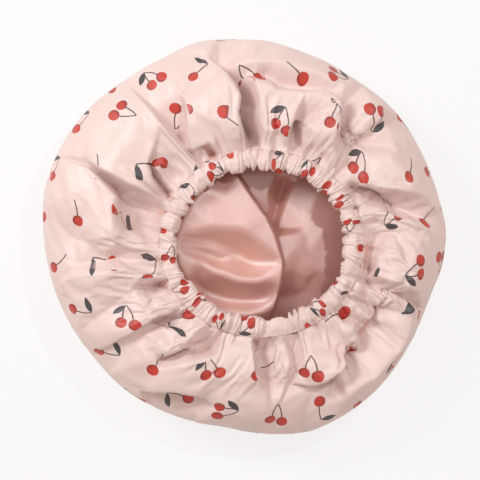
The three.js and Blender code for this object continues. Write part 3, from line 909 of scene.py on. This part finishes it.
def printed_cloth(top_edge, base_edge):
    """Blush coated cloth with small fruits, dark stems and leaves printed on it."""
    finish = Finish("blush_printed_cloth")
    colour = colours()
    place = finish.node("ShaderNodeUVMap", {"uv_map": "cut"})
    masks = print_masks(finish, place, top_edge, base_edge)
    cloud = finish.noise(place, 34.0, 3.0)
    deep = shaded(colour.blush, 0.965, 0.93, 0.92)
    ground = finish.mix(finish.step(cloud, 0.35, 0.7), rgba(colour.blush), deep)
    round_side = finish.mix(masks["shade"], shaded(colour.cherry, 0.62, 0.45, 0.6), rgba(colour.cherry))
    fruit = finish.mix(masks["tone"] * masks["shade"], round_side, shaded(colour.cherry, 1.12, 1.35, 1.3))
    leaf = finish.mix(masks["vein"] * 0.6, rgba(colour.leaf), shaded(colour.leaf, 2.1))
    face = finish.mix(masks["leaf"], ground, leaf)
    face = finish.mix(masks["stem"], face, rgba(colour.stem))
    face = finish.mix(masks["fruit"], face, fruit)
    warp, weft = (finish.wave(place, 420.0, 1.5, 1.0, bands_direction=way) for way in "XY")
    crumple = finish.noise(place, 160.0, 3.0, 0.55)
    height = warp * 0.12 + weft * 0.12 + crumple
    finish.set(Base_Color=face, Roughness=0.54 + finish.noise(place, 60.0) * 0.12,
               Normal=finish.bump(height, 0.25, 0.0006), Specular_IOR_Level=0.32,
               Coat_Weight=1.0, Coat_Roughness=0.5, Coat_IOR=1.7)
    return finish.material


def satin_cloth():
    """Dusty rose satin with a soft lengthwise sheen."""
    finish = Finish("dusty_rose_satin")
    satin = colours().satin
    place = finish.place()
    cloud = finish.noise(place, 26.0, 3.0)
    face = finish.mix(finish.step(cloud, 0.3, 0.72), rgba(satin), shaded(satin, 0.86))
    x, y, z = finish.axes(place)
    threads = finish.noise(finish.join(x * 1800.0, y * 140.0, z * 300.0), 1.0)
    height = threads * 0.35 + finish.noise(place, 190.0)
    finish.set(Base_Color=face, Roughness=0.6, Normal=finish.bump(height, 0.2, 0.0005),
               Specular_IOR_Level=0.2, Coat_Weight=1.0, Coat_Roughness=0.55, Coat_IOR=4.0)
    return finish.material


def spun_thread():
    """Rose polyester thread with its twist; the grooves between its plies are painted darker, as painted
    shade.
    """
    finish = Finish("rose_sewing_thread")
    thread = colours().thread
    ply = finish.wave(finish.place(), 900.0, 2.0, bands_direction="DIAGONAL")
    # painted shade: the thread is darker where its plies dip, in the grooves of the twist
    face = finish.mix(ply, shaded(thread, 0.7), rgba(thread))
    finish.set(Base_Color=face, Roughness=0.55 + ply * 0.15, Normal=finish.bump(ply, 0.5, 0.0002))
    return finish.material


def knitted_elastic():
    """White knitted elastic with its ribs; the grooves between the ribs are painted darker, as painted
    shade.
    """
    finish = Finish("white_knitted_elastic")
    elastic = colours().elastic
    rib = finish.wave(finish.place(), 260.0, 1.0, wave_type="RINGS", rings_direction="Z")
    # painted shade: the elastic is darker where its ribs dip, in the grooves between them
    face = finish.mix(rib, shaded(elastic, 0.82), rgba(elastic))
    finish.set(Base_Color=face, Roughness=0.7 + rib * 0.15, Normal=finish.bump(rib, 0.5, 0.0003))
    return finish.material


def material(name, make, *values):
    """A finish that is made once and shared."""
    found = bpy.data.materials.get(name)
    return found or make(*values)


# Pieces

SHELL_COLUMNS = 768
SEAM_RING = 7  # ring at which the flat maps of the top cloth and of the base meet

LINK_STEPS = ((0, 1), (1, 0), (1, 1), (1, -1))
RELAX_ROUNDS = 240
RELAX_EASE = 5
LEAST_DRAW, MOST_DRAW = 0.95, 1.28  # length on the flat map for that on the plain cap

# The sag of both printed pieces: slack share, furthest move (m) and bending stiffness
SHELL_SLACK, SHELL_MOVE, SHELL_BEND = 0.06, 0.004, 3.0
CASING_SLACK, CASING_MOVE, CASING_BEND = 0.06, 0.0015, 5.0
SLACK_TOP = 64  # height of full slack (mm)
LEAST_HELD = 0.3
CASING_HELD = 0.35

# Distances over which the outer cloth is let go (mm)
FREE_FROM_HEM = (1, 8)
FREE_FROM_GROUND = (0.5, 3.0)
FREE_FROM_WAIST = (5, 12)


def shell_map(points):
    """Flat-cut coordinates in metres of the top cloth and of the base, and their mean radii.

    Both are round where they meet, so that the print can keep clear of that line.
    """
    closed = np.concatenate([points, points[:, :1]], 1)
    step = lengths(np.diff(closed, axis=1))
    whole = step.sum(1)
    along = np.cumsum(step, 1) - step
    angle = round_angles(points.shape[1])
    turned = along / whole[:, None] * TURN
    turned += (angle[None, :] - turned).mean(1, keepdims=True)
    gap = lengths(np.diff(points, axis=0))
    for _ in range(3):
        gap = (np.roll(gap, 1, 1) + gap + np.roll(gap, -1, 1)) / 3
    start = lengths(points[:1])
    path = np.concatenate([start, start + np.cumsum(gap, 0)])
    mouth = whole[COARSE_HEM_RING] / TURN
    top_radius = path[COARSE_HEM_RING] - path
    top_radius = mouth + top_radius * top_radius[SEAM_RING].mean() / top_radius[SEAM_RING]
    path = path * path[SEAM_RING].mean() / path[SEAM_RING]
    top = directions(turned) * top_radius[..., None] * MM
    base = directions(angle)[None] * path[..., None] * MM
    return top, base + np.array([BASE_ISLAND, 0]), top_radius.mean(1) * MM, path.mean(1) * MM


def links(grid, row, column):
    """From each point of a grid to the one so many rows and columns on."""
    return np.roll(grid, -column, 1)[row:] - grid[:len(grid) - row]


def relaxed(points, flat, plain):
    """Draws a flat map out until its lengths match those of the cloth, within reach of the plain cap."""
    flat = flat.copy()
    aims = []
    for step in LINK_STEPS:
        length, smoothed = (lengths(links(grid, *step)) * MM for grid in (points, plain))
        aims.append(np.clip(length, LEAST_DRAW * smoothed, MOST_DRAW * smoothed))
    for _ in range(RELAX_ROUNDS):
        move = np.zeros_like(flat)
        for (row, column), aim in zip(LINK_STEPS, aims):
            gap = links(flat, row, column)
            now = np.maximum(lengths(gap), 1e-9)
            pull = gap * (0.5 * (1 - aim / now))[..., None]
            move[:len(flat) - row] += pull
            move[row:] -= np.roll(pull, column, 1)
        move[0] = 0
        flat += move / RELAX_EASE
    return flat


def strain(points, flat):
    """How many times longer the cloth is round each point than on its flat map."""
    most = np.ones(points.shape[:2])
    for row, column in LINK_STEPS:
        length = lengths(links(points, row, column)) * MM
        ratio = length / np.maximum(lengths(links(flat, row, column)), 1e-9)
        most[:len(most) - row] = np.maximum(most[:len(most) - row], ratio)
        most[row:] = np.maximum(most[row:], np.roll(ratio, column, 1))
    return most


def thinned(grid):
    """The rows of a grid with the base and the lower side brought to fewer points."""
    halvings = [max(1 if ring < WAIST_RING else 0, len(BASE_SHARES) - ring) for ring in range(len(grid))]
    return [row[::2 ** count] for row, count in zip(grid, halvings)]


class CAP_OT_outer_shell(bpy.types.Operator):
    """Gathers the printed outer cloth into its pleats"""
    bl_idname = "cap.outer_shell"
    bl_label = "Outer cloth"

    def execute(self, context):
        plain = envelope(round_angles(SHELL_COLUMNS))
        points, run = shell_form(plain)
        plain, main = coarse(plain), coarse(points)
        moved = self.sagged(main, coarse(run)) - main
        points += refined(moved)
        main += moved
        top, base, radius, base_radius = shell_map(plain)
        top[SEAM_RING:] = relaxed(main[SEAM_RING:], top[SEAM_RING:], plain[SEAM_RING:])
        taut = strain(main, top)
        taut[:SEAM_RING] = 1.0
        rows = thinned(points)
        obj = cloth_grid("printed_outer_cloth", rows, pole=(0, 0, 0))
        layer = obj.data.attributes.new("taut", "FLOAT", "POINT")
        layer.data.foreach_set("value", np.concatenate([[1.0], *thinned(refined(taut))]))
        ring = np.concatenate([[0]] + [np.full(len(row), index) for index, row in enumerate(rows)])
        middle = np.array([[BASE_ISLAND, 0]])
        charts = [np.concatenate([middle, *thinned(refined(chart))]) for chart in (top, base)]
        write_uv(obj, charts, (ring_of_face(obj, ring) < SEAM_RING).astype(int))
        top_edge, base_edge = (float(rings[SEAM_RING]) for rings in (radius, base_radius))
        obj.data.materials.append(material("blush_printed_cloth", printed_cloth, top_edge, base_edge))
        context.scene["shell_points"] = main.ravel().tolist()
        context.scene["hem_radius"] = float(radius[COARSE_HEM_RING])
        applied(obj, "SOLIDIFY", thickness=sizes().cloth, offset=-1)
        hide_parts("outer_shell")
        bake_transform(obj)
        return {"FINISHED"}

    def sagged(self, points, run):
        """The points after the cloth has sagged and buckled between its waist, its base and its hem."""
        obj = cloth_grid("sagging_cloth", thinned(points), pole=(0, 0, 0))
        height = points[..., 2]
        waist = sizes().waist_height / MM
        held = np.maximum(1 - smooth(*FREE_FROM_HEM, run), 1 - smooth(*FREE_FROM_GROUND, height))
        held = np.maximum(held, 1 - smooth(*FREE_FROM_WAIST, np.abs(height - waist)))
        held = np.clip(held, LEAST_HELD, 1)
        slack = 1 + SHELL_SLACK * smooth(waist, SLACK_TOP, height).mean(1)
        rest = slack_rest([ring * MM for ring in thinned(points)], slack)
        rest = np.concatenate([[[0, 0, rest[0][0, 2]]], *rest])
        settle(obj, np.concatenate([[1.0], *thinned(held)]), rest, SHELL_MOVE, SHELL_BEND)
        upper = points[WAIST_RING:]
        count = upper.shape[0] * upper.shape[1]
        settled = points.copy()
        settled[WAIST_RING:] = read_points(obj)[-count:].reshape(upper.shape) / MM
        bpy.data.objects.remove(obj)
        return settled


CASING_COLUMNS = 576
CASING_GATHER = 2  # the print is drawn in by this much where the hem is gathered
CASING_SEED = 61
CASING_SEAM = 13.0  # distance of the seam from the mouth's edge (mm)
FULLNESS = (0.8, 1.25)  # height of a gather over that of the section
MOST_JUT = 3.0  # of a gather into the mouth (mm)
MOST_DRAWN_BACK = 1.4  # of the casing's edge out of the mouth (mm)
HALFWAY_SHARE = 0.3  # of the creases, which end on the top of the casing
HALFWAY_END = (3, 9)
NOSE_OUT, NOSE_WIDTH = 0.4, 3.0  # where the casing turns into the mouth (mm)
FULL_FROM = 1.6  # height over which a gather is puffed (mm)
PUFF_ROW = 4  # row of the section along which the print is measured

# Section of the casing: distance out from the mouth's edge and height over the hem's middle (mm)
CASING_SECTION = (
    (13.4, 0.9), (12.6, 1.5), (11.4, 3.0), (9.4, 4.3), (7.0, 4.9), (4.6, 4.7), (2.4, 3.9), (0.8, 2.4),
    (0.0, 0.6), (0.2, -1.4), (1.4, -3.0), (4.2, -4.2), (7.6, -4.3), (10.6, -3.4), (12.4, -1.9),
    (13.2, -0.4),
)


def casing_form():
    """The gathered casing before it settles: rows of points round its section."""
    rng = np.random.default_rng(CASING_SEED)
    angle = round_angles(CASING_COLUMNS)
    creases = gather_creases()
    count = len(creases["bearing"])
    fullness = rng.uniform(*FULLNESS, count)
    jut = rng.uniform(0.0, MOST_JUT, count)
    halfway = rng.uniform(0, 1, count) < HALFWAY_SHARE
    wobble = waves(angle, *WOBBLE_WAVES)
    width = 1 + waves(angle, *WIDTH_WAVES)
    rows = []
    for out, up in CASING_SECTION:
        bearing = plan_bearing(beside_mouth(angle, np.full(CASING_COLUMNS, out)) - MOUTH_CENTRE)
        _, nearest, _ = crease_share(creases, bearing)
        slanted = bearing + creases["slant"][nearest] * (out - CASING_SEAM) * 0.5
        gather, nearest, close = crease_share(creases, slanted)
        part = np.where(halfway[nearest], smooth(*HALFWAY_END, np.full(CASING_COLUMNS, out)), 1.0)
        fold = creases["depth"][nearest] * part * (0.4 * close ** 2.5 + 0.9 * close ** 9)
        swell = sizes().ruffle_height / MM * fold
        nose = math.exp(-((out - NOSE_OUT) / NOSE_WIDTH) ** 2)
        crown = 1 - close ** 3
        tall = up * (1 + (fullness[gather] - 1) * crown) if up > FULL_FROM else up
        tall = tall - np.sign(up) * swell * (1 - 0.55 * nose) * (1.0 if up > 0 else 0.4)
        shift = np.minimum(MOST_DRAWN_BACK, wobble - jut[gather] * crown + 0.9 * swell)
        plan = beside_mouth(angle, CASING_SEAM - (CASING_SEAM - out) * width + shift * nose)
        height = np.broadcast_to(HEM_HEIGHT + tall, angle.shape)
        rows.append(np.concatenate([plan, height[:, None]], -1))
    return np.array(rows)


class CAP_OT_elastic_casing(bpy.types.Operator):
    """Turns the ruffled hem round the elastic"""
    bl_idname = "cap.elastic_casing"
    bl_label = "Elastic casing"

    def execute(self, context):
        rows = casing_form()
        obj = cloth_grid("ruffled_casing", rows, close_rows=True)
        out, up = np.array(CASING_SECTION).T
        held = np.where((out > 12) | (up < -1), 1.0, CASING_HELD)
        rest = rows.copy()
        rest[..., :2] += unit(rows[..., :2] - MOUTH_CENTRE) * CASING_SLACK * np.mean(CASING_HALF)
        pinned = np.repeat(held, CASING_COLUMNS)
        settle(obj, pinned, rest.reshape(-1, 3) * MM, CASING_MOVE, CASING_BEND)
        rows = read_points(obj).reshape(rows.shape) / MM
        gap = lengths(np.diff(rows, axis=0)).mean(1) * MM
        inward = context.scene["hem_radius"] - np.concatenate([[0], np.cumsum(gap)])
        step = lengths(np.roll(rows[PUFF_ROW], -1, 0) - rows[PUFF_ROW])
        turned = (np.cumsum(step) - step) / step.sum() * TURN
        turned += (round_angles(CASING_COLUMNS) - turned).mean()
        around = directions(turned * CASING_GATHER)
        chart = (inward[:, None, None] * around[None]).reshape(-1, 2)
        write_uv(obj, [chart], np.zeros(len(obj.data.polygons), dtype=int))
        obj.data.materials.append(bpy.data.materials["blush_printed_cloth"])
        applied(obj, "SUBSURF", levels=1, render_levels=1)
        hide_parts("elastic_casing")
        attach(obj, "rim")
        return {"FINISHED"}


LINING_GAP = 1.6  # to the outer cloth and to the ground (mm)
LINING_DROP = 2.0  # under the edge of the outer cloth (mm)
LINING_RINGS = 90
LINING_REACH = ((8, 1), (2, 0))  # steps to each side, columns then rings, that the lining stays under
FLOOR_RIM = (0.84, 26.0)  # share of the base's radius and height (mm)
FLOOR_RIM_POINTS = 36
LEFT_BLUR, RIGHT_BLUR = 2.6, 1.6

# Rings of the floor within a radius (mm) have so many times fewer points
FLOOR_THINNING = ((6, 16), (12, 8), (24, 4), (48, 2))


def lining_floor(plan):
    """Height of the lining over the ground, in mm."""
    around = directions(round_angles(FLOOR_RIM_POINTS))
    base = sizes().base_radius / MM
    rims = ((around * base, LINING_GAP), (around * FLOOR_RIM[0] * base, FLOOR_RIM[1]))
    left = softened_heights(plan, LEFT_BLUR, LINING_LEFT, LINING_DRAWN, rims)
    right = softened_heights(plan, RIGHT_BLUR, LINING_RIGHT, LINING_DRAWN, rims)
    along, across = np.array(LINING_EDGE).T * LINING_DRAWN
    over = smooth(-1.0, 1.0, plan[:, 0] - np.interp(plan[:, 1], along, across))
    return np.maximum(LINING_GAP, left * (1 - over) + right * over)


class CAP_OT_lining(bpy.types.Operator):
    """Lays the satin lining inside the outer cloth"""
    bl_idname = "cap.lining"
    bl_label = "Satin lining"

    def execute(self, context):
        shell = np.array(context.scene["shell_points"]).reshape(-1, SHELL_COLUMNS // 2, 3)
        angle = round_angles(shell.shape[1])
        floor = []
        for radius in np.linspace(0, sizes().base_radius / MM, LINING_RINGS + 2)[1:-1]:
            thin = next((step for limit, step in FLOOR_THINNING if radius < limit), 1)
            plan = radius * directions(angle[::thin])
            floor.append(np.concatenate([plan, lining_floor(plan)[:, None]], -1))
        plain = coarse(envelope(round_angles(SHELL_COLUMNS)))
        normal = outward(plain)
        low = ((shell - plain) * normal).sum(-1)
        for reach, axis in LINING_REACH:
            low = least_near(low, reach, axis)
        inside = (plain + normal * (low - LINING_GAP)[..., None])[len(BASE_SHARES) - 1:]
        inside[COARSE_HEM_RING:] = shell[COARSE_HEM_RING:] - np.array([0, 0, LINING_DROP])
        inside[..., 2] = np.maximum(inside[..., 2], LINING_GAP)
        rings = floor + list(inside)
        centre = np.array([0.0, 0.0, float(lining_floor(np.zeros((1, 2)))[0])])
        obj = cloth_grid("satin_lining", rings, pole=centre, flip=True)
        obj.data.materials.append(material("dusty_rose_satin", satin_cloth))
        applied(obj, "SOLIDIFY", thickness=sizes().cloth, offset=0)
        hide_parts("lining")
        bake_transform(obj)
        return {"FINISHED"}


# Stitches in metres, their row in mm
STITCH_LENGTH = 0.0021
STITCH_KNEE = 0.00035
STITCH_END = 0.001
STITCH_SAG = 0.0007
STITCH_ROW = 12.6
STITCH_AHEAD = 0.01  # angle that gives a stitch its way
NEEDLE_RISE = 1.5
BOBBIN_DROP = 2.9


def one_stitch():
    """One stitch modelled at the origin along X, bowed, in metres."""
    bpy.ops.object.select_all(action="DESELECT")
    half = sizes().thread / 2
    bpy.ops.mesh.primitive_cylinder_add(
        vertices=8, radius=half, depth=STITCH_LENGTH, rotation=(0, math.pi / 2, 0))
    obj = bpy.context.active_object
    bpy.ops.object.transform_apply(location=True, rotation=True, scale=True)
    bpy.ops.object.mode_set(mode="EDIT")
    for knee in (STITCH_KNEE, -STITCH_KNEE):
        bpy.ops.mesh.select_all(action="SELECT")
        bpy.ops.mesh.bisect(plane_co=(knee, 0, 0), plane_no=(1, 0, 0))
    bpy.ops.object.mode_set(mode="OBJECT")
    points = read_points(obj)
    points[:, 2] -= STITCH_SAG * (points[:, 0] / (STITCH_LENGTH / 2)) ** 2
    ends = np.abs(points[:, 0]) > STITCH_END
    points[ends, 1] *= 0.5
    write_points(obj, points)
    return obj


class CAP_OT_stitching(bpy.types.Operator):
    """Sews the seam that closes the casing, on both sides of the hem"""
    bl_idname = "cap.stitching"
    bl_label = "Hem stitching"

    def execute(self, context):
        pattern = one_stitch()
        shape = read_points(pattern)
        polygons = [tuple(face.vertices) for face in pattern.data.polygons]
        bpy.data.objects.remove(pattern)
        needle, bobbin = HEM_HEIGHT + NEEDLE_RISE, HEM_HEIGHT - BOBBIN_DROP
        self.sew("hem_needle_stitches", shape, polygons, needle, 1, "hem_needle_thread")
        self.sew("hem_bobbin_stitches", shape, polygons, bobbin, -1, "hem_bobbin_thread")
        return {"FINISHED"}

    def sew(self, name, shape, polygons, height, side, node):
        count = sizes().stitches
        points, faces = [], []
        for index in range(count):
            angle = np.array([index / count * TURN])
            near, ahead = (beside_mouth(angle + on, np.array([STITCH_ROW]))[0] for on in (0, STITCH_AHEAD))
            way = unit(ahead - near)
            across = np.array([-way[1], way[0]])
            flat = shape[:, 0:1] * way + shape[:, 1:2] * across
            place = np.concatenate([flat + near * MM, shape[:, 2:3] * side + height * MM], 1)
            first = len(points) * len(shape)
            points.append(place)
            turned = polygons if side > 0 else [face[::-1] for face in polygons]
            faces += [tuple(first + corner for corner in face) for face in turned]
        obj = mesh_object(name, np.concatenate(points), faces)
        obj.data.materials.append(material("rose_sewing_thread", spun_thread))
        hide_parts(node)
        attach(obj, "rim")


class CAP_OT_elastic(bpy.types.Operator):
    """Gives the elastic loop and its tack their finish"""
    bl_idname = "cap.elastic"
    bl_label = "Elastic loop"

    def execute(self, context):
        for node, made in (("elastic_band", material("white_knitted_elastic", knitted_elastic)),
                           ("elastic_join_tack", material("rose_sewing_thread", spun_thread))):
            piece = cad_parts[node]
            piece.data.materials.clear()
            piece.data.materials.append(made)
        return {"FINISHED"}


class CAP_OT_cut_sizes(bpy.types.Operator):
    """An empty step that does nothing"""
    bl_idname = "cap.cut_sizes"
    bl_label = "Cut sizes"

    def execute(self, context):
        return {"FINISHED"}


WHITE = (1, 1, 1, 1)
FLOOR_TONES = ((0.90, 0.90, 0.90, 1), (0.93, 0.93, 0.93, 1))
FLOOR_GLOW = 0.78  # share of plain white in the floor that the camera sees
SKY_COLOUR = (1.0, 0.83, 0.75, 1)
FLOOR_SIZE, FLOOR_DROP = 6.0, 0.0004
AIM = Vector((0.0, 0.0, 0.04))
KEY_PLACE, KEY_SIZE = (0.33, 0.33, 0.86), 0.04
FILL_PLACE, FILL_SIZE = (-0.62, 0.38, 0.78), 0.30
CAMERA_PLAN = (-0.0036, -0.0026)


def pale_floor():
    """Plain white floor that keeps the shadow of what lies on it."""
    finish = Finish("white_floor")
    cloud = finish.noise(finish.place(), 3.0)
    finish.set(Base_Color=finish.mix(cloud, *FLOOR_TONES), Roughness=0.9)
    seen = finish.node("ShaderNodeLightPath")
    glow = finish.node("ShaderNodeEmission", {}, {"Color": WHITE, "Strength": 1.0})
    lit = Wire(finish, finish.shader.outputs[0])
    both = finish.node("ShaderNodeMixShader", {}, {0: seen * FLOOR_GLOW, 1: lit, 2: glow})
    finish.feed(finish.tree.nodes["Material Output"].inputs["Surface"], both)
    return finish.material


def studio_sky(strength):
    """Even, slightly warm light that the camera sees as plain white."""
    world = bpy.data.worlds.new("studio")
    world.use_nodes = True
    tree = world.node_tree
    even = tree.nodes["Background"]
    even.inputs["Color"].default_value = SKY_COLOUR
    even.inputs["Strength"].default_value = strength
    white = tree.nodes.new("ShaderNodeBackground")
    white.inputs["Color"].default_value = WHITE
    path = tree.nodes.new("ShaderNodeLightPath")
    mix = tree.nodes.new("ShaderNodeMixShader")
    for index, source in enumerate((path.outputs["Is Camera Ray"], even.outputs[0], white.outputs[0])):
        tree.links.new(source, mix.inputs[index])
    tree.links.new(mix.outputs[0], tree.nodes["World Output"].inputs["Surface"])
    return world


class CAP_OT_stage(bpy.types.Operator):
    """Sets the floor, the lights and the camera"""
    bl_idname = "cap.stage"
    bl_label = "Stage"

    def execute(self, context):
        stage = context.scene.cap_stage
        scene = context.scene
        bpy.ops.object.select_all(action="DESELECT")
        bpy.ops.mesh.primitive_plane_add(size=FLOOR_SIZE, location=(0, 0, -FLOOR_DROP))
        floor = context.active_object
        floor.name = "floor"
        bpy.ops.object.transform_apply(location=True, rotation=True, scale=True)
        floor.data.materials.append(pale_floor())
        self.lamp("key_light", KEY_PLACE, stage.key, KEY_SIZE)
        self.lamp("fill_light", FILL_PLACE, stage.fill, FILL_SIZE)
        scene.world = studio_sky(stage.sky)
        bpy.ops.object.camera_add(location=(*CAMERA_PLAN, stage.distance), rotation=(0, 0, 0))
        camera = context.active_object
        camera.name = "camera"
        camera.data.lens = stage.lens
        camera.data.sensor_width = 36
        scene.camera = camera
        scene.view_settings.view_transform = "Standard"
        return {"FINISHED"}

    def lamp(self, name, place, power, size):
        bpy.ops.object.light_add(type="AREA", location=place)
        lamp = bpy.context.active_object
        lamp.name = name
        lamp.rotation_euler = (AIM - Vector(place)).to_track_quat("-Z", "Y").to_euler()
        lamp.data.energy = power
        lamp.data.size = size


GROUPS = {"cap_sizes": CapSizes, "cap_colours": CapColours, "cap_stage": CapStage}
STEPS = (CAP_OT_stage, CAP_OT_outer_shell, CAP_OT_elastic_casing, CAP_OT_lining, CAP_OT_stitching,
         CAP_OT_elastic, CAP_OT_cut_sizes)


class CAP_PT_panel(bpy.types.Panel):
    """Lists the steps that make the cap"""
    bl_idname = "CAP_PT_panel"
    bl_label = "Shower cap"
    bl_space_type = "VIEW_3D"
    bl_region_type = "UI"
    bl_category = "Shower cap"

    def draw(self, context):
        for step in STEPS:
            self.layout.operator(step.bl_idname)
        for group in (getattr(context.scene, name) for name in GROUPS):
            for name in group.bl_rna.properties.keys():
                if name not in ("rna_type", "name"):
                    self.layout.prop(group, name)


CLASSES = (*GROUPS.values(), *STEPS, CAP_PT_panel)


def register():
    for made in CLASSES:
        bpy.utils.register_class(made)
    for name, group in GROUPS.items():
        setattr(bpy.types.Scene, name, PointerProperty(type=group))


def unregister():
    for name in GROUPS:
        delattr(bpy.types.Scene, name)
    for made in reversed(CLASSES):
        bpy.utils.unregister_class(made)


def main():
    register()
    bpy.ops.cap.stage()
    bpy.ops.cap.outer_shell()
    bpy.ops.cap.elastic_casing()
    bpy.ops.cap.lining()
    bpy.ops.cap.stitching()
    bpy.ops.cap.elastic()
    bpy.ops.cap.cut_sizes()
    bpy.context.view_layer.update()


if __name__ == "__main__":
    main()
